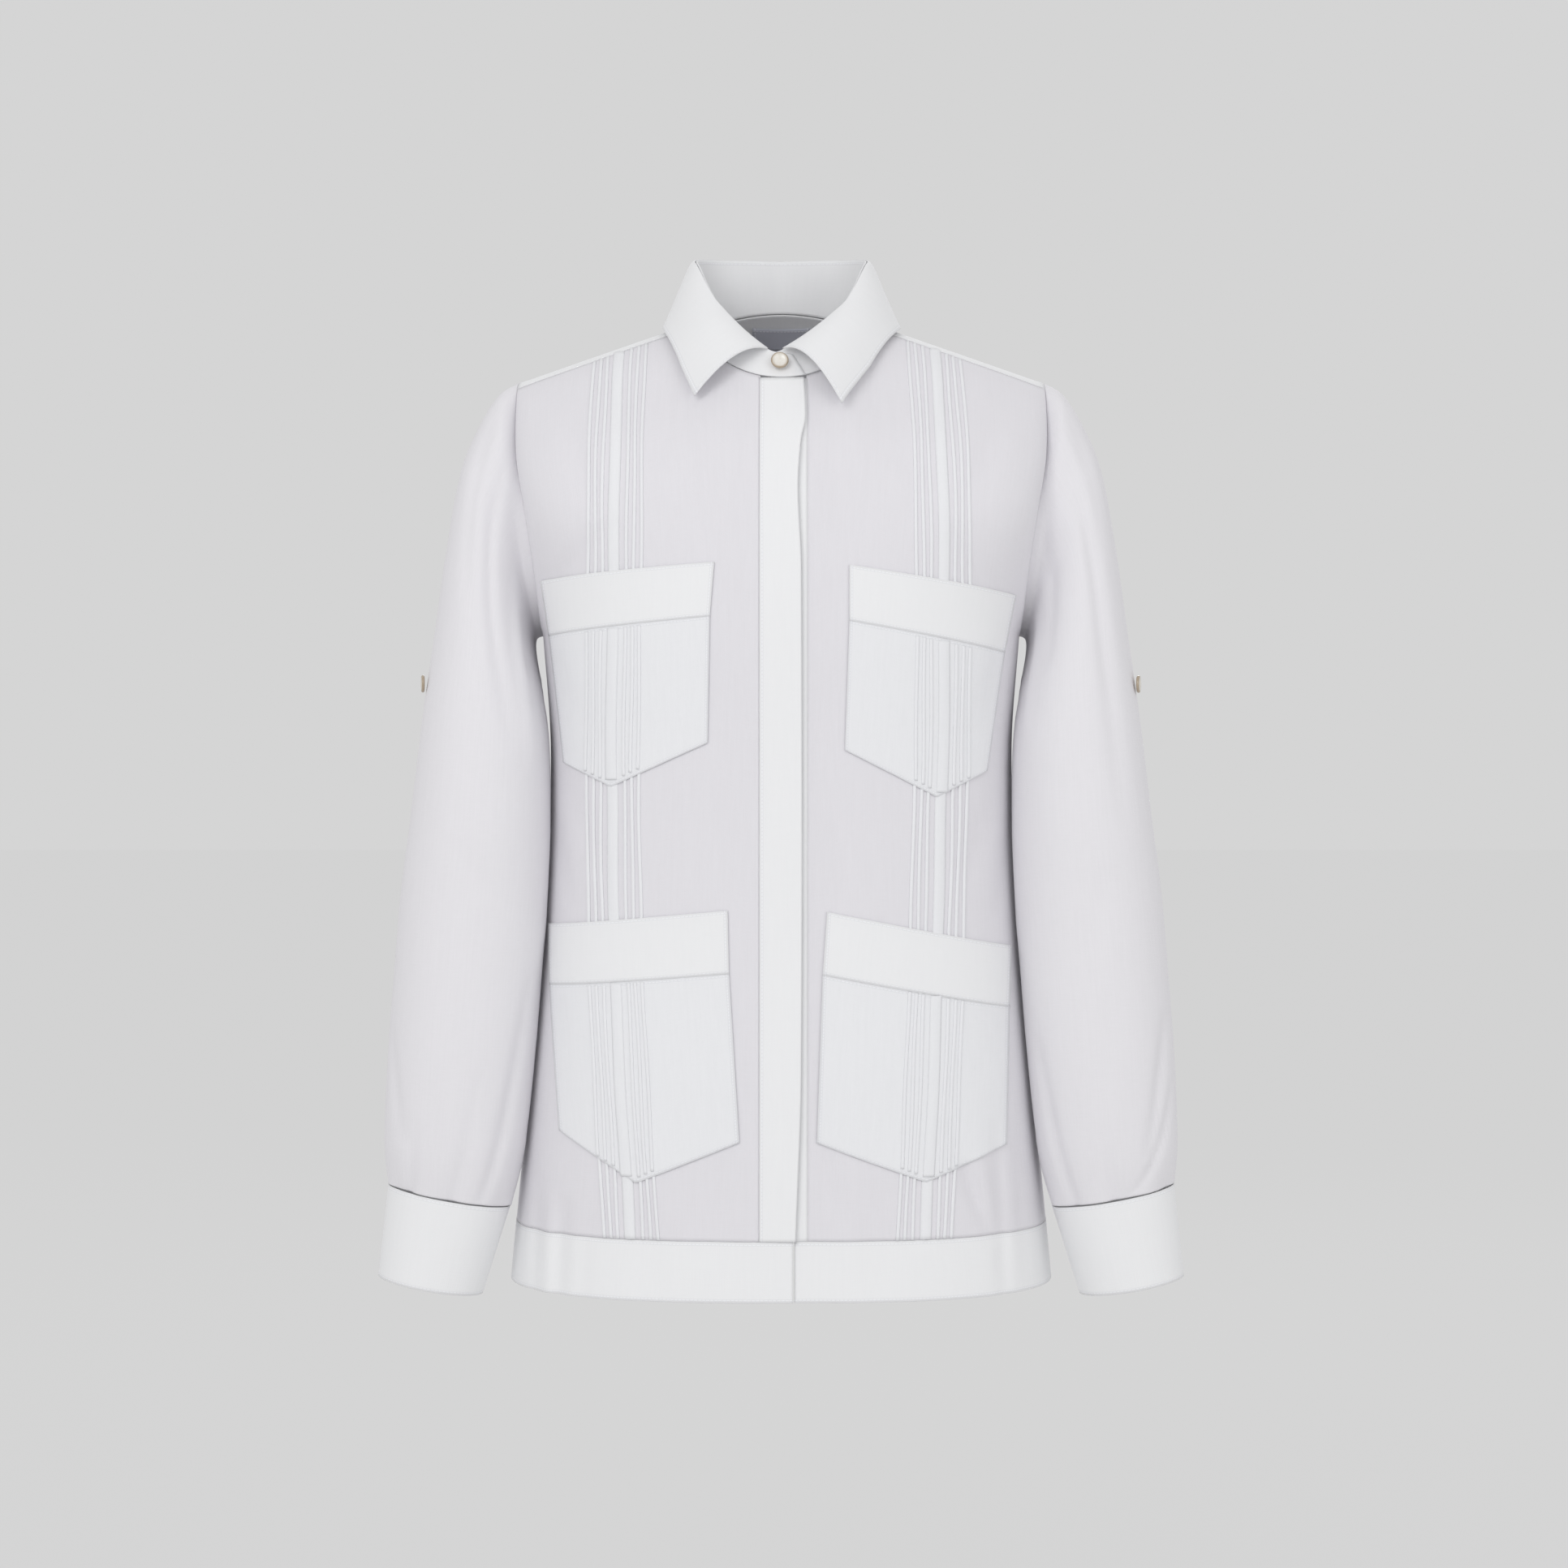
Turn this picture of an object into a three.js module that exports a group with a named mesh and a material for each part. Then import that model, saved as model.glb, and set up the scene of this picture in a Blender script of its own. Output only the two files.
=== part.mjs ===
// A long-sleeved linen guayabera, filled out as if worn: a hollow shell of cut and sewn cloth.
// Millimetres, +Z up. The front faces -Y, and the origin is the middle of the neck base.
import * as THREE from 'three';

// Cloth and gaps
const SINGLE = 1.4;
const DOUBLED = 1.8;
const THIN = 1.0;
const SEAM = 0.4;
const LIFT = 0.75;
const POCKET_LIFT = 1.2;

// Body
const HEM = -683;
const HEM_BAND = 41;
const BAND_TOP = HEM + HEM_BAND;
const UNDERARM = -225;
const NECK = 62;
const NECK_RISE = 28;
const SHOULDER_TIP = 187;
const SHOULDER_SLOPE = 0.345;
const SHOULDER_ROUND = 130;
const SQUARENESS = 2.6;
const ARMHOLE_DEPTH = 0.48;
const ARMHOLE_WIDEST = -130;
const EDGE_ONLY = 40;
const NECK_DROP = { front: 66.4, back: 26.8 };
const NECK_CURVE = 0.8;
const YOKE_TILT = 17.5;
const YOKE_BACK = -90;

// Height, half-width at the side or armhole, and reach of the front and back from the middle.
const BODY = [
  { height: 40, side: 187, front: 86, back: 106 },
  { height: -50, side: 189, front: 89, back: 111 },
  { height: -100, side: 187, front: 109, back: 116 },
  { height: -140, side: 180, front: 119, back: 117 },
  { height: -181, side: 174, front: 125, back: 115 },
  { height: -225, side: 170.5, front: 127, back: 110 },
  { height: -310, side: 165, front: 124, back: 103 },
  { height: -430, side: 170, front: 124, back: 108 },
  { height: -540, side: 180, front: 129, back: 117 },
  { height: -683, side: 193, front: 136, back: 126 },
];

// The largest folds: a soft trough (depth below 0) or ridge along a line on the front or back.
const FOLDS = [
  { face: 'front', x: -166, top: -570, foot: -700, lean: -6, width: 8, depth: -3.5 },
  { face: 'front', x: -148, top: -590, foot: -700, lean: -4, width: 7, depth: -3 },
  { face: 'front', x: 150, top: -560, foot: -700, lean: 10, width: 8, depth: -3.5 },
  { face: 'front', x: 122, top: -600, foot: -700, lean: 12, width: 9, depth: -2 },
  { face: 'back', x: -96, top: -380, foot: -700, lean: -18, width: 16, depth: -4 },
  { face: 'back', x: 40, top: -430, foot: -700, lean: 10, width: 14, depth: -3 },
  { face: 'back', x: 118, top: -360, foot: -700, lean: 16, width: 16, depth: -4 },
];

// Sleeve rings after the armhole: outermost and innermost point, middle and half of the depth.
const SLEEVE = [
  { outerX: 203, outerZ: -53, innerX: 175, innerZ: -226.5, middle: -4, depth: 52 },
  { outerX: 218, outerZ: -79, innerX: 176.5, innerZ: -230, middle: -9, depth: 54 },
  { outerX: 229, outerZ: -110, innerX: 176, innerZ: -238, middle: -15, depth: 56 },
  { outerX: 238, outerZ: -165, innerX: 173, innerZ: -252, middle: -24, depth: 57 },
  { outerX: 245, outerZ: -222, innerX: 168, innerZ: -272, middle: -33, depth: 57 },
  { outerX: 253, outerZ: -285, innerX: 163, innerZ: -304, middle: -42, depth: 56 },
  { outerX: 261, outerZ: -357, innerX: 162, innerZ: -357, middle: -48, depth: 54 },
  { outerX: 267.5, outerZ: -409, innerX: 163, innerZ: -405, middle: -50, depth: 52 },
  { outerX: 272, outerZ: -466, innerX: 167.5, innerZ: -462, middle: -52, depth: 50 },
  { outerX: 276, outerZ: -522, innerX: 173, innerZ: -530, middle: -54, depth: 48 },
  { outerX: 278, outerZ: -583, innerX: 180, innerZ: -588, middle: -56, depth: 43 },
  { outerX: 275, outerZ: -611, innerX: 190, innerZ: -627, middle: -57, depth: 36 },
];
const CUFF = [
  { outerX: 275.2, outerZ: -612, innerX: 190.8, innerZ: -628, middle: -57, depth: 36 },
  { outerX: 279, outerZ: -644, innerX: 201, innerZ: -658, middle: -57.5, depth: 35 },
  { outerX: 282, outerZ: -676, innerX: 210, innerZ: -689, middle: -58, depth: 33.5 },
];
const SLEEVE_CLEAR = 6;

// Collar: the fold line where the leaf turns down, by turn from the front (0) to the back (1).
const FOLD_LINE = [
  { turn: -0.1, x: -10, y: -74, z: -33 },
  { turn: 0, x: 9, y: -73, z: -29 },
  { turn: 0.3, x: 43, y: -47, z: 6 },
  { turn: 0.5, x: 58, y: -13, z: 38 },
  { turn: 0.65, x: 60, y: 12, z: 48 },
  { turn: 0.82, x: 42, y: 37, z: 52 },
  { turn: 1, x: 0, y: 48, z: 53 },
];
// The leaf's free edge: distance from the middle on each side, and tilt over the shoulder.
const LEAF_EDGE = [
  { turn: 0, left: 60, right: 42, leftTilt: -62, rightTilt: -71, stand: 9 },
  { turn: 0.18, left: 71, right: 61, leftTilt: -45, rightTilt: -50, stand: 7 },
  { turn: 0.35, left: 83, right: 83, leftTilt: -18, rightTilt: -17, stand: 5 },
  { turn: 0.5, left: 84, right: 84, leftTilt: 4, rightTilt: 4, stand: 5 },
  { turn: 0.66, left: 72, right: 72, leftTilt: 24, rightTilt: 24, stand: 5 },
  { turn: 0.82, left: 42, right: 42, leftTilt: 37, rightTilt: 37, stand: 5 },
  { turn: 1, left: 0, right: 0, leftTilt: 41, rightTilt: 41, stand: 5 },
];

// Front opening: the outer placket's two edges, and the under placket.
const PLACKET_LEFT = -14.7;
const PLACKET_RIGHT = [
  { height: -45, x: 15.4 },
  { height: -80, x: 16.6 },
  { height: -95, x: 13.6 },
  { height: -130, x: 11.4 },
  { height: -185, x: 13.5 },
  { height: -530, x: 13.4 },
  { height: -642, x: 9.6 },
];
const UNDER = { left: -11, right: 18, inset: 3.4 };

// Pockets: the corners as distances from the middle of the front and heights.
const POCKETS = [
  { name: 'upper_right', side: -1, topIn: [45, -181], topOut: [167, -190], seamIn: [48, -218],
    seamOut: [162, -228], footIn: [49.5, -304], tip: [116, -334], footOut: [151, -317] },
  { name: 'upper_left', side: 1, topIn: [46, -183], topOut: [163, -200], seamIn: [46, -221],
    seamOut: [155, -240], footIn: [43, -309], tip: [106, -341], footOut: [142, -323] },
  { name: 'lower_right', side: -1, topIn: [36, -418], topOut: [163, -430], seamIn: [35, -461],
    seamOut: [161, -472], footIn: [28, -575], tip: [98, -603.5], footOut: [152.5, -571] },
  { name: 'lower_left', side: 1, topIn: [31, -419], topOut: [160, -445], seamIn: [28, -462],
    seamOut: [158, -487], footIn: [24, -575.5], tip: [98, -603], footOut: [155, -581] },
];

// Tucks: where the group's inner line runs on each front, and each tuck's place and width in it.
const TUCK_LINE = [
  { height: -20, right: 95, left: 89 },
  { height: -175, right: 94, left: 91 },
  { height: -400, right: 95, left: 88 },
  { height: -683, right: 80, left: 76 },
];
const TUCKS = [
  { from: 0, width: 3 },
  { from: 5.5, width: 3 },
  { from: 11, width: 3 },
  { from: 16.5, width: 8 },
  { from: 27, width: 3 },
  { from: 31.5, width: 3 },
  { from: 36, width: 3 },
];

const BUTTON = { radius: 6.2, rim: 5.2, thick: 2.6, dish: 0.6 };
const LABEL = { width: 43, top: 6, foot: -8 };

// Colours
const linen = new THREE.MeshStandardMaterial({ color: 0xe6e5ea, roughness: 0.9, metalness: 0 });
const folded = new THREE.MeshStandardMaterial({ color: 0xecedf1, roughness: 0.88, metalness: 0 });
const tape = new THREE.MeshStandardMaterial({ color: 0xd2d4dc, roughness: 0.7, metalness: 0 });
const pearl = new THREE.MeshStandardMaterial({ color: 0xe8e2da, roughness: 0.3, metalness: 0 });

const MIDDLE = new THREE.Vector3(0, 0, -300);
const radians = THREE.MathUtils.degToRad;
const lerp = THREE.MathUtils.lerp;

// A smooth curve through one named column of a table, read at a value of another.
function column(table, name, key, at) {
  const last = table.length - 1;
  const rising = table[last][key] > table[0][key];
  let index = 0;
  while (index < last - 1 && (rising ? table[index + 1][key] < at : table[index + 1][key] > at)) {
    index += 1;
  }
  const slope = (row) => {
    const before = table[Math.max(row - 1, 0)];
    const after = table[Math.min(row + 1, last)];
    return (after[name] - before[name]) / (after[key] - before[key]);
  };
  const start = table[index];
  const end = table[index + 1];
  const span = end[key] - start[key];
  const t = THREE.MathUtils.clamp((at - start[key]) / span, 0, 1);
  const keepStart = (2 * t - 3) * t * t + 1;
  const leave = ((t - 2) * t + 1) * t * span * slope(index);
  const arrive = (t - 1) * t * t * span * slope(index + 1);
  return keepStart * start[name] + (1 - keepStart) * end[name] + leave + arrive;
}

// The shoulder line: level with the neck base, falling to the tip, rising inside the neck.
function ridge(x) {
  const out = Math.abs(x);
  if (out < NECK) {
    return NECK_RISE * (1 - (out / NECK) ** 2);
  }
  return -SHOULDER_SLOPE * (out - NECK);
}

function foldAt(face, x, z) {
  let sum = 0;
  for (const fold of FOLDS.filter((one) => one.face === face)) {
    const down = (fold.top - z) / (fold.top - fold.foot);
    if (down > 0) {
      const across = (x - fold.x - fold.lean * down) / fold.width;
      sum += fold.depth * Math.min(1, down * 2) * Math.exp(-across * across);
    }
  }
  return sum;
}

// A point of the body's form, on its front (-1) or back (1), from its place across and its height.
function body(face, x, z) {
  const side = column(BODY, 'side', 'height', z);
  const reach = column(BODY, face < 0 ? 'front' : 'back', 'height', z);
  const cosTilt = THREE.MathUtils.clamp(1 - (ridge(x) - z) / SHOULDER_ROUND, 0, 1);
  const rounding = Math.sqrt(1 - cosTilt * cosTilt);
  const low = THREE.MathUtils.clamp((ARMHOLE_WIDEST - z) / (ARMHOLE_WIDEST - UNDERARM), 0, 1);
  const across = Math.min(Math.abs(x) / side, 1);
  const soft = 1 - low * low * (3 - 2 * low);
  const share = ARMHOLE_DEPTH * lerp(soft, Math.sqrt(1 - low * low), across ** EDGE_ONLY);
  const curve = (1 - across ** SQUARENESS) ** (1 / SQUARENESS);
  const depth = (share + (1 - share) * curve) * reach * rounding;
  const fold = foldAt(face < 0 ? 'front' : 'back', x, z) * Math.min(1, curve * 2);
  return new THREE.Vector3(x, face * (SEAM / 2 + depth + fold), z);
}

// The same form near the shoulder, by tilt in degrees from the shoulder line (front below 0).
function overShoulder(x, tilt) {
  const z = ridge(x) - SHOULDER_ROUND * (1 - Math.cos(radians(tilt)));
  return body(tilt < 0 ? -1 : 1, x, z);
}

function neckTilt(x) {
  return Math.sqrt(Math.max(0, 1 - (x / NECK) ** 2)) ** NECK_CURVE;
}

function frontTop(x) {
  const neck = Math.abs(x) < NECK ? NECK_DROP.front * neckTilt(x) : 0;
  const tilt = Math.max(neck, YOKE_TILT);
  return ridge(x) - SHOULDER_ROUND * (1 - Math.cos(radians(tilt)));
}

// Outward normals of a grid of points, from each point's neighbours.
function normals(grid, closed) {
  const rows = grid.length;
  const columns = grid[0].length;
  return grid.map((line, row) => line.map((point, index) => {
    const before = closed ? line[(index + columns - 1) % columns] : line[Math.max(index - 1, 0)];
    const after = closed ? line[(index + 1) % columns] : line[Math.min(index + 1, columns - 1)];
    const above = grid[Math.max(row - 1, 0)][index];
    const below = grid[Math.min(row + 1, rows - 1)][index];
    const along = after.clone().sub(before);
    return along.cross(below.clone().sub(above)).normalize();
  }));
}

// A closed wall of cloth over a grid: it lies between two distances out from the grid's points.
function wall(grid, inner, outer, closed = false, inside = MIDDLE, given = undefined) {
  const rows = grid.length;
  const columns = grid[0].length;
  const out = given ?? normals(grid, closed);
  let facing = 0;
  grid.forEach((line, row) => line.forEach((point, index) => {
    facing += point.clone().sub(inside).setZ(0).dot(out[row][index]);
  }));
  const sign = Math.sign(facing);
  const positions = [];
  for (const distance of [inner, outer]) {
    grid.forEach((line, row) => line.forEach((point, index) => {
      const place = point.clone().addScaledVector(out[row][index], sign * distance);
      positions.push(place.x, place.y, place.z);
    }));
  }
  const faces = [];
  const quad = (a, b, c, d) => faces.push(a, b, c, a, c, d);
  const layer = rows * columns;
  const at = (row, index) => row * columns + (index % columns);
  const across = closed ? columns : columns - 1;
  for (let row = 0; row < rows - 1; row += 1) {
    for (let index = 0; index < across; index += 1) {
      const corners = [at(row, index), at(row + 1, index), at(row + 1, index + 1), at(row, index + 1)];
      quad(...corners);
      quad(...corners.map((corner) => corner + layer).reverse());
    }
  }
  const rim = [];
  for (let index = 0; index < across; index += 1) {
    rim.push([at(0, index), at(0, index + 1)]);
    rim.push([at(rows - 1, index + 1), at(rows - 1, index)]);
  }
  if (!closed) {
    for (let row = 0; row < rows - 1; row += 1) {
      rim.push([at(row + 1, 0), at(row, 0)]);
      rim.push([at(row, columns - 1), at(row + 1, columns - 1)]);
    }
  }
  for (const [from, to] of rim) {
    quad(from, to, to + layer, from + layer);
  }
  return solid(positions, faces);
}

// A geometry whose faces point outward, whichever way round they were listed.
function solid(positions, faces) {
  const corner = (index) => new THREE.Vector3().fromArray(positions, index * 3);
  let volume = 0;
  for (let index = 0; index < faces.length; index += 3) {
    const [a, b, c] = faces.slice(index, index + 3).map(corner);
    volume += a.dot(b.cross(c));
  }
  if (volume < 0) {
    faces.reverse();
  }
  const geometry = new THREE.BufferGeometry();
  geometry.setAttribute('position', new THREE.Float32BufferAttribute(positions, 3));
  geometry.setIndex(faces);
  return geometry;
}

const shirt = new THREE.Group();

function sew(name, geometry, material) {
  const mesh = new THREE.Mesh(geometry, material);
  mesh.name = name;
  shirt.add(mesh);
  return mesh;
}

// Shares of the way down a front, closer together over the chest: panels and trims all use them.
const DOWN = [0, 0.02, 0.045, 0.075, 0.11, 0.15, 0.195, 0.245, 0.3, 0.37, 0.46, 0.58, 0.72, 0.86, 1];
const steps = (count) => Array.from({ length: count + 1 }, (_, index) => index / count);
// Steps across a panel, closer together where it turns round the side.
const towardSide = (t) => Math.sin(t * Math.PI / 2);

// How far the left front goes in under the right one at the opening.
function goesUnder(x) {
  const t = THREE.MathUtils.clamp((x - UNDER.right) / 34, 0, 1);
  return UNDER.inset * (1 - t * t * (3 - 2 * t));
}

// Fronts. The wearer's right front is on the -X side and laps over the left one.
function frontGrid(side, start, rows, columns, top, foot) {
  return rows.map((v) => steps(columns).map((u) => {
    const spread = towardSide(u);
    const wide = start + (SHOULDER_TIP - start) * spread;
    const head = top ?? frontTop(wide) - SEAM;
    const z = lerp(head, foot, v);
    const edge = column(BODY, 'side', 'height', z);
    const x = start + (edge - start) * spread;
    const point = body(-1, side * x, z);
    if (side > 0) {
      point.y += goesUnder(x);
    }
    return point;
  }));
}
const rightStart = -PLACKET_LEFT + SEAM;
const leftStart = UNDER.right + SEAM;
const frontFoot = BAND_TOP + SEAM;
sew('front_right', wall(frontGrid(-1, rightStart, DOWN, 12, undefined, frontFoot),
  -SINGLE / 2, SINGLE / 2), linen);
sew('front_left', wall(frontGrid(1, leftStart, DOWN, 12, undefined, frontFoot),
  -SINGLE / 2, SINGLE / 2), linen);
sew('hem_band_right', wall(frontGrid(-1, -8, [0, 1], 14, BAND_TOP, HEM), -DOUBLED / 2, DOUBLED / 2), folded);
sew('hem_band_left', wall(frontGrid(1, 9, [0, 1], 13, BAND_TOP, HEM), -DOUBLED / 2, DOUBLED / 2), folded);

// Back: one panel from the yoke seam down, the whole width.
function backGrid(rows, columns, top, foot, power) {
  return steps(rows).map((v) => steps(columns).map((u) => {
    const spread = Math.sin((u - 0.5) * Math.PI);
    const z = lerp(top, foot, v ** power);
    return body(1, spread * column(BODY, 'side', 'height', z), z);
  }));
}
sew('back', wall(backGrid(11, 18, YOKE_BACK - SEAM, BAND_TOP + SEAM, 1.15), -SINGLE / 2, SINGLE / 2), linen);
sew('hem_band_back', wall(backGrid(1, 18, BAND_TOP, HEM, 1), -DOUBLED / 2, DOUBLED / 2), folded);

// Yoke: from the front seams and the neck, over the shoulders, to the seam across the back.
const NECK_SHARE = 0.5;
const neckStart = Math.acos((YOKE_TILT / NECK_DROP.front) ** (1 / NECK_CURVE));
function yokeLine(share) {
  const side = Math.sign(share) || 1;
  const inward = 1 - Math.abs(share);
  const neckX = NECK * Math.sin(neckStart);
  const start = { x: 0, tilt: -YOKE_TILT };
  if (inward < NECK_SHARE) {
    start.x = lerp(SHOULDER_TIP, neckX, inward / NECK_SHARE);
  } else {
    const angle = lerp(neckStart, Math.PI, (inward - NECK_SHARE) / (1 - NECK_SHARE));
    const swing = Math.cos(angle);
    start.x = NECK * Math.sin(angle);
    start.tilt = swing > 0 ? -NECK_DROP.front * swing ** NECK_CURVE
      : NECK_DROP.back * (-swing) ** NECK_CURVE;
  }
  const endX = SHOULDER_TIP * Math.abs(share);
  const endTilt = THREE.MathUtils.radToDeg(Math.acos(1 - (ridge(endX) - YOKE_BACK) / SHOULDER_ROUND));
  return steps(6).map((v) => {
    const point = overShoulder(side * lerp(start.x, endX, v), lerp(start.tilt, endTilt, v));
    const edge = column(BODY, 'side', 'height', point.z) / SHOULDER_TIP;
    const x = side * lerp(start.x, endX, v) * lerp(1, edge, Math.abs(share) ** 4);
    return body(Math.sign(point.y), x, point.z);
  });
}
const yokeColumns = steps(22).map((u) => yokeLine(1 - 2 * u));
sew('yoke', wall(yokeColumns, -SINGLE / 2, SINGLE / 2), linen);

// Sleeves: the first ring is the armhole, the rest are ovals from the table, kept off the body.
function offBody(point, side) {
  const face = point.y < 0 ? -1 : 1;
  const reach = column(BODY, face < 0 ? 'front' : 'back', 'height', point.z);
  const across = column(BODY, 'side', 'height', point.z);
  const depth = Math.min(Math.abs(point.y) / reach, 1);
  const least = across * (1 - depth ** SQUARENESS) ** (1 / SQUARENESS) + SLEEVE_CLEAR;
  const out = Math.abs(point.x);
  if (point.z < UNDERARM) {
    const blend = THREE.MathUtils.clamp((UNDERARM - point.z) / 6, 0, 1);
    point.x = side * lerp(out, Math.max(out, least), blend);
  }
  return point;
}
function oval(ring, side, count) {
  return steps(count).slice(0, count).map((u) => {
    const angle = u * 2 * Math.PI;
    const near = (1 + Math.cos(angle)) / 2;
    const x = lerp(ring.innerX, ring.outerX, near);
    const z = lerp(ring.innerZ, ring.outerZ, near);
    return offBody(new THREE.Vector3(side * x, ring.middle - ring.depth * Math.sin(angle), z), side);
  });
}
function armhole(side, count) {
  const top = ridge(SHOULDER_TIP);
  return steps(count).slice(0, count).map((u) => {
    const angle = u * 2 * Math.PI;
    const z = lerp(UNDERARM, top, (1 + Math.cos(angle)) / 2);
    const x = column(BODY, 'side', 'height', z);
    const point = body(angle <= Math.PI ? -1 : 1, side * x, z);
    point.x += side * 1.3;
    return point;
  });
}
const AROUND = 16;
for (const [name, side] of [['right', -1], ['left', 1]]) {
  const rings = [armhole(side, AROUND), ...SLEEVE.map((ring) => oval(ring, side, AROUND))];
  const inside = new THREE.Vector3(side * 215, -30, -300);
  sew(`sleeve_${name}`, wall(rings, -SINGLE / 2, SINGLE / 2, true, inside), linen);
  const cuffRings = [CUFF[0], CUFF[2]].map((ring) => oval(ring, side, AROUND));
  sew(`cuff_${name}`, wall(cuffRings, -DOUBLED / 2, DOUBLED / 2, true,
    new THREE.Vector3(side * 240, -57, -650)), folded);
}

// Collar. The stand rises from the neck seam, and its right end laps over the left at the front.
function neckPoint(side, turn) {
  const angle = Math.PI * turn;
  const swing = Math.cos(angle);
  const tilt = swing > 0 ? -NECK_DROP.front * swing ** NECK_CURVE
    : NECK_DROP.back * (-swing) ** NECK_CURVE;
  return overShoulder(side * NECK * Math.sin(angle), tilt);
}
function foldPoint(side, turn) {
  const shift = side > 0 ? 8 * Math.max(0, 1 - turn / 0.3) : 0;
  const [x, y, z] = ['x', 'y', 'z'].map((name) => column(FOLD_LINE, name, 'turn', turn));
  return new THREE.Vector3(side * (x - shift), y, z);
}
const STAND_FOOT = 2.3;
function standLine(side, turn) {
  const foot = neckPoint(side, turn);
  const head = foldPoint(side, turn);
  const rise = head.clone().sub(foot).normalize();
  foot.addScaledVector(rise, STAND_FOOT);
  const under = side > 0 ? UNDER.inset * Math.max(0, 1 - turn / 0.16) : 0;
  return steps(2).map((v) => {
    const point = foot.clone().lerp(head, v);
    point.y += under;
    return point;
  });
}
const standTurns = steps(24).map((u) => lerp(-1.09, 1.05, u));
const standGrid = standTurns.map((value) => {
  const side = value < 0 ? -1 : 1;
  return standLine(side, 1 - Math.abs(value));
});
sew('collar_stand', wall(standGrid, -DOUBLED / 2, DOUBLED / 2), folded);

// The leaf turns down from the fold line and lies over the fronts and yoke.
function leafEdge(side, turn) {
  const name = side < 0 ? 'left' : 'right';
  const x = column(LEAF_EDGE, name, 'turn', turn);
  const tilt = column(LEAF_EDGE, `${name}Tilt`, 'turn', turn);
  const stand = column(LEAF_EDGE, 'stand', 'turn', turn);
  const point = overShoulder(side * x, tilt);
  const lean = radians(tilt);
  point.y += Math.sin(lean) * stand;
  point.z += Math.cos(lean) * stand;
  return point;
}
const LEAF_GAP = 2.6;
const LEAF_ROLL = 16;
function leafLine(side, turn) {
  const head = foldPoint(side, turn);
  const foot = leafEdge(side, turn);
  const along = foldPoint(side, Math.min(turn + 0.02, 1)).sub(foldPoint(side, turn - 0.02));
  const away = along.cross(head.clone().sub(neckPoint(side, turn))).normalize();
  head.addScaledVector(away, LEAF_GAP * (Math.sign(away.x * head.x + away.y * head.y) || 1));
  const crown = head.clone().lerp(foot, 0.42).setZ(head.z + 3);
  crown.y -= LEAF_ROLL * Math.max(0, 1 - turn / 0.5);
  const curve = new THREE.QuadraticBezierCurve3(head, crown, foot);
  return steps(5).map((v) => curve.getPoint(v));
}
const leafGrid = steps(26).map((u) => {
  const value = lerp(-1, 1, u);
  return leafLine(value < 0 ? -1 : 1, 1 - Math.abs(value));
});
sew('collar', wall(leafGrid, -DOUBLED / 2, DOUBLED / 2), folded);

// What lies on a front: a wall over a grid across and down it, moved out from the panel's points.
const NEARBY = 0.5;
function onFront(side, rows, columns, place, inner, outer) {
  const at = (x, z) => {
    const point = body(-1, side * x, z);
    point.y += side > 0 ? goesUnder(x) : 0;
    return point;
  };
  const places = rows.map((v) => columns.map((u) => place(u, v)));
  const points = places.map((line) => line.map(([x, z]) => at(x, z)));
  const out = places.map((line) => line.map(([x, z]) => {
    const across = at(x, z).sub(at(x - NEARBY, z)).multiplyScalar(side);
    return across.cross(at(x, z + NEARBY).sub(at(x, z - NEARBY))).normalize();
  }));
  return wall(points, inner, outer, false, MIDDLE, out);
}
const overPanel = SINGLE / 2 + LIFT;

// Plackets: the outer strip hides the buttons, the under strip shows beside its right edge.
const placketGrid = DOWN.map((v) => steps(1).map((u) => {
  const z = lerp(frontTop(0) - SEAM, frontFoot, v);
  const right = column(PLACKET_RIGHT, 'x', 'height', z);
  return body(-1, lerp(PLACKET_LEFT, right, u), z);
}));
sew('placket', wall(placketGrid, -DOUBLED / 2, DOUBLED / 2), folded);
const underGrid = DOWN.map((v) => steps(1).map((u) => {
  const z = lerp(frontTop(0) - SEAM, frontFoot, v);
  const point = body(-1, lerp(UNDER.left, UNDER.right, u), z);
  point.y += UNDER.inset;
  return point;
}));
sew('placket_under', wall(underGrid, -SINGLE / 2, SINGLE / 2), folded);

// Tucks: narrow pleats sewn down, from the yoke to the hem band.
for (const [name, side] of [['right', -1], ['left', 1]]) {
  TUCKS.forEach((tuck, number) => {
    const strip = onFront(side, DOWN, [0, 1], (u, v) => {
      const across = tuck.from + tuck.width * u;
      const head = frontTop(column(TUCK_LINE, name, 'height', -20) + across) - 1.5;
      const z = lerp(head, BAND_TOP + 1, v);
      return [column(TUCK_LINE, name, 'height', z) + across, z];
    }, overPanel, overPanel + THIN);
    sew(`tuck_${name}_${number + 1}`, strip, linen);
  });
}

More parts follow.
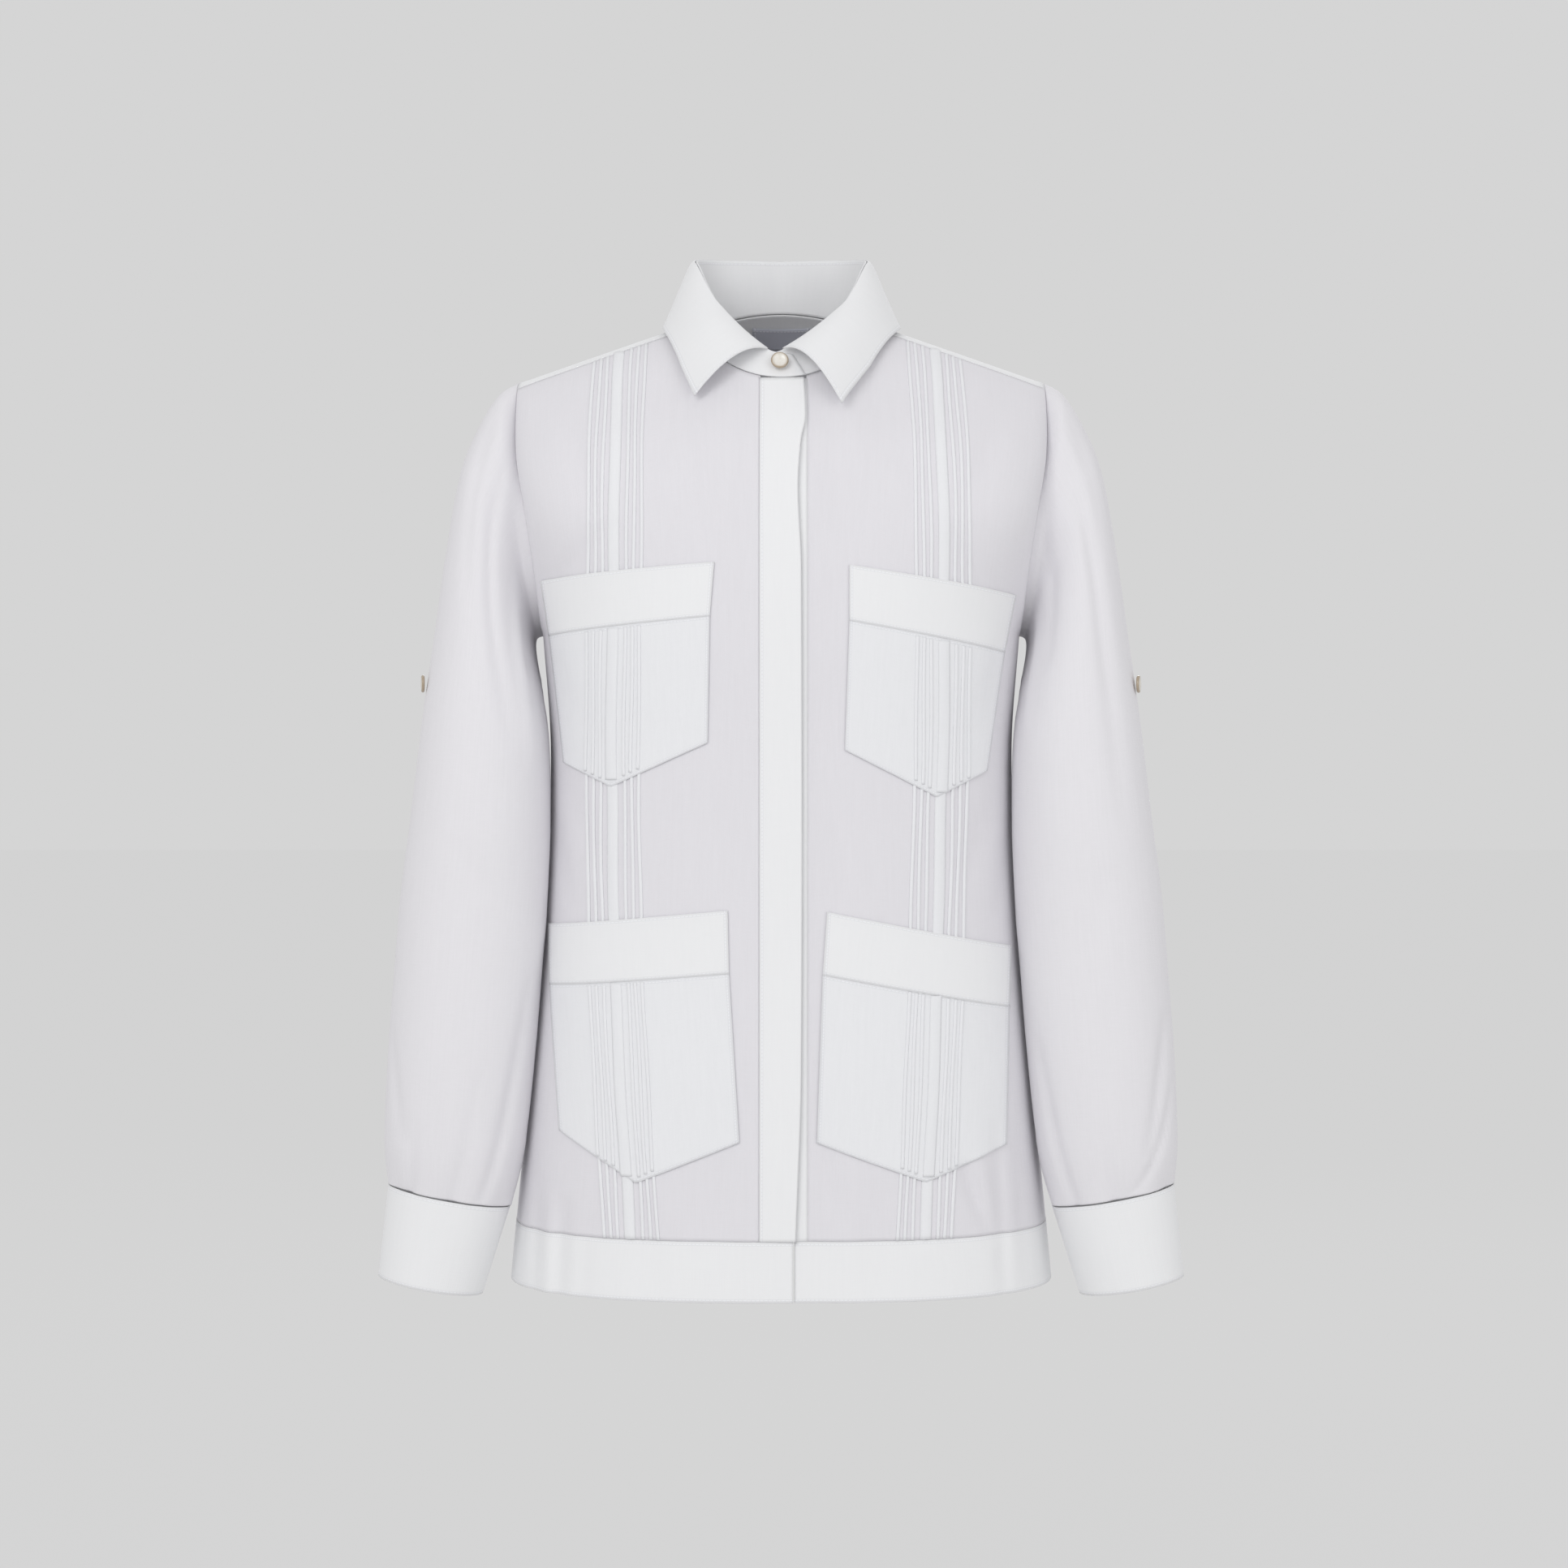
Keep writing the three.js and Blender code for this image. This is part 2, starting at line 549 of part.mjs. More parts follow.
// Patch pockets with a pointed foot, and the deep band along each top edge.
const overTucks = overPanel + THIN + POCKET_LIFT;
for (const pocket of POCKETS) {
  const cut = (inHead, outHead, inFoot, outFoot, tip) => {
    const tipAt = (pocket.tip[0] - pocket.footIn[0]) / (pocket.footOut[0] - pocket.footIn[0]);
    const inward = steps(4).slice(0, 4).map((t) => t * tipAt);
    const outward = steps(6).map((t) => lerp(tipAt, 1, towardSide(t)));
    const columns = [...inward, ...outward];
    return (rows, thick) => onFront(pocket.side, rows, columns, (u, v) => {
      const headX = lerp(inHead[0], outHead[0], u);
      const headZ = lerp(inHead[1], outHead[1], u);
      const footX = lerp(inFoot[0], outFoot[0], u);
      let footZ = lerp(inFoot[1], outFoot[1], u);
      if (tip) {
        footZ = u < tipAt ? lerp(inFoot[1], tip[1], u / tipAt)
          : lerp(tip[1], outFoot[1], (u - tipAt) / (1 - tipAt));
      }
      return [lerp(headX, footX, v), lerp(headZ, footZ, v)];
    }, overTucks, overTucks + thick);
  };
  const drop = ([x, z]) => [x, z - SEAM];
  const bag = cut(drop(pocket.seamIn), drop(pocket.seamOut), pocket.footIn, pocket.footOut, pocket.tip);
  const band = cut(pocket.topIn, pocket.topOut, pocket.seamIn, pocket.seamOut);
  sew(`pocket_${pocket.name}`, bag(steps(4), SINGLE), linen);
  sew(`pocket_band_${pocket.name}`, band([0, 1], DOUBLED), folded);
}

// Blank label inside the back of the yoke, under the collar seam.
const labelGrid = steps(2).map((v) => steps(4).map((u) => {
  const z = lerp(LABEL.top, LABEL.foot, v);
  return body(1, lerp(-LABEL.width / 2, LABEL.width / 2, u), z);
}));
const labelOut = -SINGLE / 2 - 2 * LIFT;
sew('neck_label', wall(labelGrid, labelOut - THIN, labelOut), tape);

// Buttons: a turned disc with a rim and a shallow dish, lying on the cloth.
const buttonProfile = [
  [0, 0],
  [BUTTON.rim, 0],
  [BUTTON.radius, BUTTON.thick * 0.35],
  [BUTTON.radius, BUTTON.thick * 0.7],
  [BUTTON.rim, BUTTON.thick],
  [BUTTON.rim - 1.2, BUTTON.thick - BUTTON.dish],
  [0, BUTTON.thick - BUTTON.dish],
].map(([radius, height]) => new THREE.Vector2(radius, height));
function button(name, point, outward, lift) {
  const lathe = new THREE.LatheGeometry(buttonProfile, 12);
  const mesh = sew(name, lathe, pearl);
  const away = outward.clone().normalize();
  mesh.position.copy(point).addScaledVector(away, lift);
  mesh.quaternion.setFromUnitVectors(new THREE.Vector3(0, 1, 0), away);
  return mesh;
}
const standMiddle = standLine(-1, -0.022)[1];
button('button_collar', standMiddle, new THREE.Vector3(0.05, -1, 0.35), DOUBLED / 2 + 2.2);
// On a sleeve or cuff: the ring's row, and the angle from the outermost line towards the front.
function sleeveButton(name, side, ring, degrees, lift) {
  const angle = radians(degrees);
  const near = (1 + Math.cos(angle)) / 2;
  const point = new THREE.Vector3(
    side * lerp(ring.innerX, ring.outerX, near),
    ring.middle - ring.depth * Math.sin(angle),
    lerp(ring.innerZ, ring.outerZ, near),
  );
  const wide = (ring.outerX - ring.innerX) / 2;
  const outward = new THREE.Vector3(side * Math.cos(angle) / wide, -Math.sin(angle) / ring.depth, 0);
  button(name, point, outward, lift);
}
const upperArm = { outerX: 250, outerZ: -261, innerX: 165, innerZ: -290, middle: -38, depth: 56.5 };
sleeveButton('button_sleeve_right', -1, upperArm, 14, 2.2);
sleeveButton('button_sleeve_left', 1, upperArm, 20, 2.2);
sleeveButton('button_cuff_right', -1, CUFF[1], -55, 2.4);
sleeveButton('button_cuff_left', 1, CUFF[1], -55, 2.4);

export default shirt;
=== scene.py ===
from math import acos, cos, exp, hypot, pi, radians, sin, sqrt

import bmesh
import bpy
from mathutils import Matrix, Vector


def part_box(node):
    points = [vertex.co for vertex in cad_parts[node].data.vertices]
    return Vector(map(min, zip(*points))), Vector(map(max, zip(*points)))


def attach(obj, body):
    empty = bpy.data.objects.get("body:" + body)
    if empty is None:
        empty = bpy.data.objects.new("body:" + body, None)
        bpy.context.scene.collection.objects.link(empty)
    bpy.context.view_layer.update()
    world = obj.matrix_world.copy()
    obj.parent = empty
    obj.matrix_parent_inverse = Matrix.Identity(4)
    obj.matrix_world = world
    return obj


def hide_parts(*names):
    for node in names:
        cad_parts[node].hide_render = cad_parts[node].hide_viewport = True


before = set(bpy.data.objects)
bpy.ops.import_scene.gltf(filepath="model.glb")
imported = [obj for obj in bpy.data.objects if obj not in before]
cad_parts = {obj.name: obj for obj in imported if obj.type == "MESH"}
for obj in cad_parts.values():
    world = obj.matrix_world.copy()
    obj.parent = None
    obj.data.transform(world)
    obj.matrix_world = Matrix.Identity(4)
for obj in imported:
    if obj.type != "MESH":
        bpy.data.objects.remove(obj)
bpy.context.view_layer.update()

# View and studio. The shirt is seen square on, at about its middle, from about two metres. The
# floor is plain and pale, and large soft lights stand in front at the left and right, and behind.
scene = bpy.context.scene
scene.view_settings.view_transform = "Standard"
camera = bpy.data.objects.new("camera", bpy.data.cameras.new("camera"))
scene.collection.objects.link(camera)
camera.data.lens = 67.75
camera.location = (0.002, -2.13, -0.332)
camera.rotation_euler = (radians(90), 0, 0)
scene.camera = camera

world = bpy.data.worlds.new("studio")
scene.world = world
world.use_nodes = True
world.node_tree.nodes["Background"].inputs["Color"].default_value = (0.665, 0.665, 0.665, 1)
world.node_tree.nodes["Background"].inputs["Strength"].default_value = 1.0


def softbox(name, place, aim, size, power):
    light = bpy.data.lights.new(name, "AREA")
    light.size = size
    light.energy = power
    lamp = bpy.data.objects.new(name, light)
    lamp.location = place
    lamp.rotation_euler = (Vector(aim) - Vector(place)).to_track_quat("-Z", "Y").to_euler()
    scene.collection.objects.link(lamp)


softbox("key", (-1.3, -2.6, 0.9), (0, 0, -0.3), 1.6, 24)
softbox("fill", (1.6, -2.2, 0.2), (0, 0, -0.35), 1.8, 11)
softbox("back", (0.4, 2.4, 1.2), (0, 0, -0.3), 1.8, 20)

floor_mesh = bmesh.new()
bmesh.ops.create_grid(floor_mesh, x_segments=1, y_segments=1, size=30)
bmesh.ops.translate(floor_mesh, verts=floor_mesh.verts, vec=(0, 0, -1.05))
floor = bpy.data.objects.new("floor", bpy.data.meshes.new("floor"))
floor_mesh.to_mesh(floor.data)
scene.collection.objects.link(floor)
paper = bpy.data.materials.new("pale_floor")
paper.use_nodes = True
finish = paper.node_tree.nodes["Principled BSDF"].inputs
finish["Base Color"].default_value = (0.06, 0.06, 0.06, 1)
finish["Roughness"].default_value = 1.0
finish["Specular IOR Level"].default_value = 0.0
finish["Emission Color"].default_value = (0.61, 0.61, 0.61, 1)
finish["Emission Strength"].default_value = 1.0
floor.data.materials.append(paper)


# Linen. A plain weave of uneven, slubby yarns in both directions, and dull. Single layers carry
# painted shade, greyer, for the dark hollow that shows through thin cloth, and folded ones are
# painted whiter, and are smoother. A row of stitches runs inside the edges that are sewn, with
# painted shade in the groove beside it.
class Wire:
    def __init__(self, tree, socket=None):
        self.tree = tree
        self.socket = socket

    def node(self, kind, settings, inputs, output=0):
        made = self.tree.nodes.new(kind)
        for name, value in settings.items():
            setattr(made, name, value)
        for name, value in inputs.items():
            if isinstance(value, Wire):
                self.tree.links.new(value.socket, made.inputs[name])
            else:
                made.inputs[name].default_value = value
        return Wire(self.tree, made.outputs[output])

    def maths(self, operation, first, second):
        return self.node("ShaderNodeMath", {"operation": operation}, {0: first, 1: second})

    def __add__(self, other):
        return self.maths("ADD", self, other)

    def __radd__(self, other):
        return self.maths("ADD", other, self)

    def __sub__(self, other):
        return self.maths("SUBTRACT", self, other)

    def __rsub__(self, other):
        return self.maths("SUBTRACT", other, self)

    def __mul__(self, other):
        return self.maths("MULTIPLY", self, other)

    def __rmul__(self, other):
        return self.maths("MULTIPLY", other, self)

    def __lt__(self, other):
        return self.maths("LESS_THAN", self, other)


STITCH_IN = 0.0019
STITCH_WIDE = 0.00032
STITCH_STEP = 0.0026


def linen(name, shade, size, stitched=(), depth=1.0):
    """A linen for one piece of a cut size. stitched lists its sewn edges: left, right, top, foot."""
    material = bpy.data.materials.new(name)
    material.use_nodes = True
    tree = material.node_tree
    cloth = tree.nodes["Principled BSDF"]
    start = Wire(tree)
    place = start.node("ShaderNodeUVMap", {"uv_map": "cut"}, {})

    def yarns(scale, detail):
        spot = start.node("ShaderNodeVectorMath", {"operation": "MULTIPLY"}, {0: place, 1: scale})
        return start.node("ShaderNodeTexNoise", {"noise_dimensions": "2D"},
                          {"Vector": spot, "Scale": 1.0, "Detail": detail, "Roughness": 0.62})

    warp = yarns((1700, 60, 1), 3.0)
    weft = yarns((60, 1700, 1), 3.0)
    slubs = yarns((380, 22, 1), 2.0)
    cloud = yarns((26, 14, 1), 3.0)
    weave = (warp + weft) * 0.5 + (slubs - 0.5) * 0.55
    tone = (weave - 0.5) * (0.24 * depth) + (cloud - 0.5) * 0.05 + 0.5
    darker = tuple(value * 0.86 for value in shade)
    lighter = tuple(min(value * 1.12, 0.97) for value in shade)
    colour = start.node("ShaderNodeMix", {"data_type": "RGBA"},
                        {0: tone, 6: (*darker, 1), 7: (*lighter, 1)}, 2)
    relief = weave
    axes = start.node("ShaderNodeSeparateXYZ", {}, {0: place})
    across = axes
    down = Wire(tree, axes.socket.node.outputs[1])
    reach = {"left": across, "right": size[0] - across, "top": down, "foot": size[1] - down}
    for edge in stitched:
        run = down if edge in ("left", "right") else across
        off = start.node("ShaderNodeMath", {"operation": "ABSOLUTE"}, {0: reach[edge] - STITCH_IN})
        dash = start.node("ShaderNodeMath", {"operation": "FRACT"}, {0: run * (1 / STITCH_STEP)})
        thread = (off < STITCH_WIDE) * (dash < 0.7)
        groove = off < STITCH_WIDE * 3
        relief = relief - groove * 0.5 + thread * 0.9
        colour = start.node("ShaderNodeMix", {"data_type": "RGBA"},
                            {0: thread * 0.55, 6: colour, 7: (0.93, 0.94, 0.97, 1)}, 2)
        # Painted shade: the groove beside each row of stitches is darkened towards a lilac grey.
        colour = start.node("ShaderNodeMix", {"data_type": "RGBA"},
                            {0: (groove - thread) * 0.12, 6: colour, 7: (0.5, 0.5, 0.56, 1)}, 2)
    bump = start.node("ShaderNodeBump", {}, {"Height": relief, "Strength": 0.35 * depth,
                                             "Distance": 0.0004})
    tree.links.new(colour.socket, cloth.inputs["Base Color"])
    tree.links.new(bump.socket, cloth.inputs["Normal"])
    tree.links.new((1.0 - tone * 0.15).socket, cloth.inputs["Roughness"])
    cloth.inputs["Sheen Weight"].default_value = 0.12
    cloth.inputs["Specular IOR Level"].default_value = 0.2
    return material


# Painted shade and light by layers: single cloth is painted darker for the hollow showing through, the
# sleeves' single cloth a little less dark, pockets and tucks lighter, and doubled cloth lightest.
SHADE_SINGLE = (0.785, 0.772, 0.806)
SHADE_SLEEVE = (0.815, 0.803, 0.832)
SHADE_POCKET = (0.845, 0.85, 0.878)
SHADE_FOLDED = (0.87, 0.878, 0.905)
MIDDLE = Vector((0, 0, -0.3))
ONE_LAYER, TWO_LAYERS = 0.0005, 0.001


def sewn(name, spans, place, size, shade, stitched=(), thick=ONE_LAYER,
         closed=False, inside=MIDDLE, own_solid=True, depth=1.0):
    """A piece of cloth: a grid laid on the form by place(u, v), which gives millimetres."""
    mesh = bmesh.new()
    cut = mesh.loops.layers.uv.new("cut")
    bmesh.ops.create_grid(mesh, x_segments=spans[0], y_segments=spans[1], size=0.5)
    for face in mesh.faces:
        for loop in face.loops:
            spot = loop.vert.co
            loop[cut].uv = ((spot.x + 0.5) * size[0], (0.5 - spot.y) * size[1])
    for vert in mesh.verts:
        vert.co = place(vert.co.x + 0.5, 0.5 - vert.co.y) * 0.001
    if closed:
        bmesh.ops.remove_doubles(mesh, verts=mesh.verts, dist=0.00001)
    mesh.normal_update()
    facing = sum((face.calc_center_median() - inside).xy.dot(face.normal.xy) for face in mesh.faces)
    if facing < 0:
        bmesh.ops.reverse_faces(mesh, faces=mesh.faces)
    for face in mesh.faces:
        face.smooth = True
    data = bpy.data.meshes.new(name)
    mesh.to_mesh(data)
    piece = bpy.data.objects.new(name + "_cloth", data)
    scene.collection.objects.link(piece)
    wall = piece.modifiers.new("wall", "SOLIDIFY")
    wall.thickness = thick
    wall.offset = 0
    data.materials.append(linen(name + "_linen", shade, size, stitched, depth))
    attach(piece, "root")
    if own_solid:
        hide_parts(name)
    return piece


# Body form, in millimetres: the same heights, half-widths and reaches that the solids are cut to.
# Soft troughs and ridges lie on it where the cloth drags, slackens or hangs.
HEM, BAND_TOP, UNDERARM, NECK, NECK_RISE = -683, -642, -225, 62, 28
SHOULDER_TIP, SHOULDER_SLOPE, SHOULDER_ROUND = 187, 0.345, 130
SQUARENESS, ARMHOLE_DEPTH, ARMHOLE_WIDEST, EDGE_ONLY = 2.6, 0.48, -130, 40
SIDE_SEAM = 0.2
NECK_FRONT, NECK_BACK, NECK_CURVE = 66.4, 26.8, 0.8
YOKE_TILT, YOKE_BACK = 17.5, -90
BODY = {
    "height": (40, -50, -100, -140, -181, -225, -310, -430, -540, -683),
    "side": (187, 189, 187, 180, 174, 170.5, 165, 170, 180, 193),
    "front": (86, 89, 109, 119, 125, 127, 124, 124, 129, 136),
    "back": (106, 111, 116, 117, 115, 110, 103, 108, 117, 126),
}
# Creases: from one place to another (across, height), how wide, and how deep (a ridge is above 0).
FRONT_CREASES = [
    ((-168, -600), (-172, -700), 5, -3.4), ((-149, -615), (-154, -700), 6, -3.6),
    ((-159, -610), (-163, -700), 5, 1.8), ((-132, -625), (-137, -700), 7, -1.2),
    ((147, -560), (155, -700), 6, -3.4), ((122, -590), (147, -650), 5, -3.0),
    ((134, -585), (152, -640), 6, 1.6), ((163, -560), (170, -690), 6, -1.8),
    ((112, -560), (136, -625), 7, -1.8), ((84, -600), (96, -650), 8, -1.3),
    ((-110, -150), (-172, -205), 8, -2.2), ((-60, -90), (-132, -128), 13, -1.6),
    ((-150, -70), (-128, -150), 9, -1.9), ((152, -70), (130, -150), 10, -1.7),
    ((60, -95), (134, -135), 14, -1.5), ((112, -160), (166, -215), 8, -2.2),
    ((20, -64), (52, -120), 9, -1.4), ((-22, -66), (-58, -132), 11, -1.4),
    ((18, -90), (32, -170), 7, -1.2), ((-152, -320), (-120, -400), 9, -1.5),
    ((-160, -345), (-146, -420), 6, -1.6), ((150, -330), (126, -405), 9, -1.5),
    ((162, -345), (150, -430), 6, -1.7), ((22, -350), (34, -440), 10, -1.2),
    ((-24, -300), (-34, -420), 11, -1.1), ((28, -570), (40, -640), 8, -1.1),
    ((-40, -585), (-52, -660), 9, -1.2), ((-20, -600), (-24, -700), 8, 1.0),
    ((60, -600), (66, -700), 11, -1.4), ((-90, -610), (-92, -700), 12, -1.2),
    ((156, -215), (140, -300), 8, -2.0), ((-158, -225), (-145, -300), 8, -2.0),
]
BACK_CREASES = [
    ((-96, -380), (-114, -700), 16, -4), ((40, -430), (50, -700), 14, -3),
    ((118, -360), (134, -700), 16, -4), ((-40, -470), (-52, -700), 18, -2.6),
    ((84, -480), (92, -700), 11, 2), ((-134, -300), (-150, -640), 10, -2.4),
    ((0, -330), (-4, -620), 20, 1.8), ((-150, -150), (-70, -190), 12, -2.4),
    ((152, -148), (76, -186), 12, -2.2), ((-156, -205), (-92, -250), 10, -2.0),
    ((158, -210), (96, -246), 10, -2.2), ((-150, -260), (-60, -330), 16, -2.0),
    ((148, -270), (60, -340), 15, -2.2), ((-30, -120), (-44, -260), 15, -1.2),
    ((36, -130), (46, -250), 14, -1.2),
]


def mix(first, second, share):
    return first + (second - first) * share


def clamp(value, low=0.0, high=1.0):
    return min(max(value, low), high)


def column(table, name, key, at):
    """A smooth curve through one named column of a table, read at a value of another."""
    keys, values = table[key], table[name]
    last = len(keys) - 1
    sign = 1 if keys[last] > keys[0] else -1
    index = 0
    while index < last - 1 and sign * keys[index + 1] < sign * at:
        index += 1

    def slope(row):
        low, high = max(row - 1, 0), min(row + 1, last)
        return (values[high] - values[low]) / (keys[high] - keys[low])

    span = keys[index + 1] - keys[index]
    t = clamp((at - keys[index]) / span)
    keep = (2 * t - 3) * t * t + 1
    leave = ((t - 2) * t + 1) * t * span * slope(index)
    arrive = (t - 1) * t * t * span * slope(index + 1)
    return keep * values[index] + (1 - keep) * values[index + 1] + leave + arrive


def crease(rows, x, z):
    """How far the creases move the cloth at a place, outward above 0."""
    total = 0.0
    for (x1, z1), (x2, z2), wide, deep in rows:
        run_x, run_z = x2 - x1, z2 - z1
        length = hypot(run_x, run_z)
        along = ((x - x1) * run_x + (z - z1) * run_z) / (length * length)
        if 0 < along < 1:
            off = ((x - x1) * run_z - (z - z1) * run_x) / length / wide
            if abs(off) < 3:
                total += deep * exp(-off * off) * sin(pi * along) ** 0.8
    return total


def ridge(x):
    out = abs(x)
    return NECK_RISE * (1 - (out / NECK) ** 2) if out < NECK else -SHOULDER_SLOPE * (out - NECK)


def body(face, x, z, lift=0.0):
    """A point of the shirt's form, on the front (-1) or back (1), moved out by lift."""
    side = column(BODY, "side", "height", z)
    reach = column(BODY, "front" if face < 0 else "back", "height", z)
    tilt = clamp(1 - (ridge(x) - z) / SHOULDER_ROUND)
    rounding = sqrt(1 - tilt * tilt)
    low = clamp((ARMHOLE_WIDEST - z) / (ARMHOLE_WIDEST - UNDERARM))
    across = min(abs(x) / side, 1)
    soft = 1 - low * low * (3 - 2 * low)
    share = ARMHOLE_DEPTH * mix(soft, sqrt(1 - low * low), across ** EDGE_ONLY)
    curve = (1 - across ** SQUARENESS) ** (1 / SQUARENESS)
    depth = (share + (1 - share) * curve) * reach * rounding
    fold = crease(FRONT_CREASES if face < 0 else BACK_CREASES, x, z) * min(1, curve * 2)
    point = Vector((x, face * (SIDE_SEAM + depth + fold), z))
    if lift:
        out = Vector((x / side ** 2 * 1.6, face * max(curve, 0.15) / reach, tilt / SHOULDER_ROUND))
        point += out.normalized() * lift
    return point


def over_shoulder(x, tilt, lift=0.0):
    z = ridge(x) - SHOULDER_ROUND * (1 - cos(radians(tilt)))
    return body(-1 if tilt < 0 else 1, x, z, lift)


def front_top(x):
    neck = NECK_FRONT * sqrt(max(0, 1 - (x / NECK) ** 2)) ** NECK_CURVE if abs(x) < NECK else 0
    return ridge(x) - SHOULDER_ROUND * (1 - cos(radians(max(neck, YOKE_TILT))))


# Fronts: two panels cut from one layer. The wearer's right front laps over the left one, which
# goes in under it at the opening. Doubled hem bands close both at the foot.
UNDER_RIGHT, UNDER_INSET, UNDER_EASE = 18, 2.2, 34


def goes_under(x):
    t = clamp((x - UNDER_RIGHT) / UNDER_EASE)
    return UNDER_INSET * (1 - t * t * (3 - 2 * t))


def on_front(side, x, z, lift=0.0):
    point = body(-1, side * x, z, lift)
    if side > 0:
        point.y += goes_under(x)
    return point


def front_panel(side, start, top, foot):
    def place(u, v):
        spread = sin(u * pi / 2)
        wide = mix(start, SHOULDER_TIP, spread)
        z = mix(front_top(wide) if top is None else top, foot, v)
        return on_front(side, mix(start, column(BODY, "side", "height", z), spread), z)
    return place


front_size = (0.262, 0.650)
front_right = sewn("front_right", (110, 230), front_panel(-1, 14.4, None, BAND_TOP + 0.3), front_size,
                   SHADE_SINGLE, ("right",))
front_left = sewn("front_left", (110, 230), front_panel(1, 17.6, None, BAND_TOP + 0.3), front_size,
                  SHADE_SINGLE, ("right",))
sewn("hem_band_right", (160, 18), front_panel(-1, -8, BAND_TOP, HEM), (0.286, 0.041), SHADE_FOLDED,
     ("top", "foot"), TWO_LAYERS, depth=0.6)
sewn("hem_band_left", (150, 18), front_panel(1, 9, BAND_TOP, HEM), (0.264, 0.041), SHADE_FOLDED,
     ("top", "foot"), TWO_LAYERS, depth=0.6)


# Back: one panel cut from one layer across the whole width. It is sewn to the yoke's lower edge and
# hangs from that seam in a few long folds, with its own doubled hem band at the foot.
def back_panel(top, foot):
    def place(u, v):
        z = mix(top, foot, v)
        return body(1, sin((u - 0.5) * pi) * column(BODY, "side", "height", z), z)
    return place


sewn("back", (170, 190), back_panel(YOKE_BACK - 0.2, BAND_TOP + 0.3), (0.480, 0.555), SHADE_SINGLE,
     ("top",))
sewn("hem_band_back", (170, 14), back_panel(BAND_TOP, HEM), (0.525, 0.041), SHADE_FOLDED,
     ("top", "foot"), TWO_LAYERS, depth=0.6)

# Yoke: one piece over both shoulders, cut in two layers. It is sewn to the fronts a little way down
# in front of the shoulders, and to the back across the shoulder blades.
NECK_START = acos((YOKE_TILT / NECK_FRONT) ** (1 / NECK_CURVE))


def neck_tilt(angle):
    swing = cos(angle)
    return -NECK_FRONT * swing ** NECK_CURVE if swing > 0 else NECK_BACK * (-swing) ** NECK_CURVE


def yoke_place(u, v):
    share = 1 - 2 * u
    side = -1 if share < 0 else 1
    inward = 1 - abs(share)
    if inward < 0.5:
        start_x, start_tilt = mix(SHOULDER_TIP, NECK * sin(NECK_START), inward * 2), -YOKE_TILT
    else:
        angle = mix(NECK_START, pi, inward * 2 - 1)
        start_x, start_tilt = NECK * sin(angle), neck_tilt(angle)
    end_x = SHOULDER_TIP * abs(share)
    end_tilt = acos(1 - (ridge(end_x) - YOKE_BACK) / SHOULDER_ROUND) * 180 / pi
    x = mix(start_x, end_x, v)
    point = over_shoulder(side * x, mix(start_tilt, end_tilt, v))
    edge = column(BODY, "side", "height", point.z) / SHOULDER_TIP
    return body(-1 if point.y < 0 else 1, side * x * mix(1, edge, abs(share) ** 4), point.z)


sewn("yoke", (160, 56), yoke_place, (0.420, 0.190), SHADE_FOLDED, ("top", "foot"), 0.0009,
     depth=0.8)

# Sleeves: each is one piece closed by a seam under the arm and gathered a little into its cuff.
# They hang just clear of the body, with drag lines from the shoulder and slack folds at the wrist.
SLEEVE = {
    "outer_x": (203, 218, 229, 238, 245, 253, 261, 267.5, 272, 276, 278, 275),
    "outer_z": (-53, -79, -110, -165, -222, -285, -357, -409, -466, -522, -583, -611),
    "inner_x": (175, 176.5, 176, 173, 168, 163, 162, 163, 167.5, 173, 180, 190),
    "inner_z": (-226.5, -230, -238, -252, -272, -304, -357, -405, -462, -530, -588, -627),
    "middle": (-4, -9, -15, -24, -33, -42, -48, -50, -52, -54, -56, -57),
    "depth": (52, 54, 56, 57, 57, 56, 54, 52, 50, 48, 43, 36),
}
CUFF = {"outer_x": (275.2, 282), "outer_z": (-612, -676), "inner_x": (190.8, 210), "inner_z": (-628, -689),
        "middle": (-57, -58), "depth": (36, 33.5)}
SLEEVE_CLEAR = 4.5
RINGS = len(SLEEVE["depth"])
# Creases on a sleeve: from (degrees round from the outside to the front, ring) to another; the
# first table is the wearer's right sleeve.
SLEEVE_CREASES = {
    -1: [((62, 0.4), (118, 6.2), 8, -3.2), ((30, 0.6), (70, 4.5), 9, -1.6),
         ((125, 1.5), (140, 6.5), 7, 2.4), ((150, 9.0), (120, 12.4), 6, -2.6),
         ((110, 10.0), (95, 12.4), 6, -2.0), ((60, 10.6), (52, 12.6), 6, -1.8),
         ((20, 9.6), (50, 11.0), 7, -1.6), ((80, 7.2), (120, 8.6), 12, -1.2),
         ((240, 1), (215, 5), 14, -3), ((300, 4), (250, 8), 14, -2.2),
         ((280, 9.5), (262, 12.4), 8, -2.4), ((225, 9.8), (215, 12.4), 8, -2.2)],
    1: [((70, 0.4), (60, 7.2), 9, -3.6), ((105, 0.6), (128, 4.8), 8, -2.4),
        ((35, 1), (52, 4), 10, -1.4), ((140, 1.5), (150, 6), 7, 2.0),
        ((150, 9.6), (128, 12.4), 6, -2.6), ((30, 9.4), (62, 11.2), 6, -2.6),
        ((24, 10.2), (74, 11.9), 5, -2.4), ((100, 10.6), (92, 12.5), 6, -1.8),
        ((78, 7.6), (112, 9.2), 12, -1.3), ((245, 1), (220, 5), 14, -3),
        ((295, 4.4), (255, 8.2), 13, -2.2), ((285, 9.4), (268, 12.4), 8, -2.4)],
}


def off_body(point, side):
    if point.z < UNDERARM:
        reach = column(BODY, "front" if point.y < 0 else "back", "height", point.z)
        depth = min(abs(point.y) / reach, 1)
        least = column(BODY, "side", "height", point.z) * (1 - depth ** SQUARENESS) ** (1 / SQUARENESS)
        out = abs(point.x)
        point.x = side * mix(out, max(out, least + SLEEVE_CLEAR), clamp((UNDERARM - point.z) / 6))
    return point


